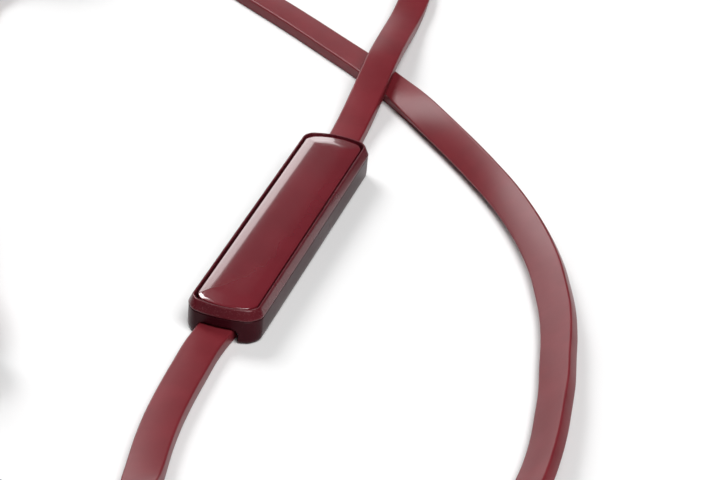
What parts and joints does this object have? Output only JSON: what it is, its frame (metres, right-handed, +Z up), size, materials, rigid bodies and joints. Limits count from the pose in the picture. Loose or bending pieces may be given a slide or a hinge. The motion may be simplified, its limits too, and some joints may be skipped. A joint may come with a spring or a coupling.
{
  "type": "wired earphones",
  "caption": "Wired in-ear earphones: flat dark red cords, an inline remote with a glossy push plate and bevelled rim, a split, coiled main cord and a slim jack plug.",
  "frame": {"origin": "centre of the inline remote's flat underside, on the surface the earphones lie on", "axes": "+Z up, +Y along the remote towards the end whose cord makes the loop, +X to the right of it"},
  "size_m": [0.0952, 0.1371, 0.0119],
  "materials": {
    "shell_plastic": "satin, fine metallic grain",
    "frame_lacquer": "satin lacquer with fine metallic grain",
    "plate_lacquer": "glossy lacquer",
    "board": "solder mask",
    "steel": "satin",
    "black_plastic": "matte",
    "gold_plate": "polished gold plate",
    "relief_rubber": "matte",
    "cord_rubber": "satin",
    "tie_rubber": "matte",
    "magnet": "nickel plated",
    "copper_wire": "enamelled wire",
    "film": "thin film",
    "tip_silicone": "soft matte"
  },
  "bodies": {
    "earphones": {"circuit_board": "board", "coil_tie_1": "tie_rubber", "coil_tie_2": "tie_rubber", "coil_tie_3": "tie_rubber", "cord_anchor_1": "black_plastic", "cord_anchor_2": "black_plastic", "left_diaphragm": "film", "left_driver_magnet": "magnet", "left_driver_yoke": "steel", "left_ear_cord_coil": "cord_rubber", "left_ear_cord_lead": "cord_rubber", "left_ear_cord_tail": "cord_rubber", "left_front_housing": "plate_lacquer", "left_nozzle_mesh": "steel", "left_pole_plate": "steel", "left_rear_housing": "shell_plastic", "left_strain_relief": "relief_rubber", "left_trim_ring": "steel", "left_voice_coil": "copper_wire", "main_cord_coil": "cord_rubber", "main_cord_lead": "cord_rubber", "main_cord_tail": "cord_rubber", "mic_capsule": "steel", "mic_gasket": "black_plastic", "plug_body": "shell_plastic", "plug_insulator_1": "black_plastic", "plug_insulator_2": "black_plastic", "plug_insulator_3": "black_plastic", "plug_ring_contact_1": "gold_plate", "plug_ring_contact_2": "gold_plate", "plug_sleeve_contact": "gold_plate", "plug_strain_relief": "relief_rubber", "plug_tip_contact": "gold_plate", "remote_lower_shell": "shell_plastic", "remote_upper_frame": "frame_lacquer", "right_diaphragm": "film", "right_driver_magnet": "magnet", "right_driver_yoke": "steel", "right_ear_cord_lower": "cord_rubber", "right_ear_cord_upper": "cord_rubber", "right_front_housing": "plate_lacquer", "right_nozzle_mesh": "steel", "right_pole_plate": "steel", "right_rear_housing": "shell_plastic", "right_strain_relief": "relief_rubber", "right_trim_ring": "steel", "right_voice_coil": "copper_wire", "split_lower_shell": "shell_plastic", "split_upper_shell": "frame_lacquer", "switch_body": "steel"},
    "plate": {"button_plate": "plate_lacquer", "switch_plunger": "black_plastic"},
    "right_tip": {"right_ear_tip": "tip_silicone"},
    "left_tip": {"left_ear_tip": "tip_silicone"}
  },
  "joints": [
    {"name": "button_press", "type": "slide", "parent": "earphones", "child": "plate", "axis": [0, 0, -1], "range_m": [0, 0.00025], "stiffness_N_per_m": 800},
    {"name": "right_tip_pull", "type": "slide", "parent": "earphones", "child": "right_tip", "axis": [-0.999, 0, 0.0455], "range_m": [0, 0.006]},
    {"name": "left_tip_pull", "type": "slide", "parent": "earphones", "child": "left_tip", "axis": [-0.999, 0, 0.0455], "range_m": [0, 0.006]}
  ]
}
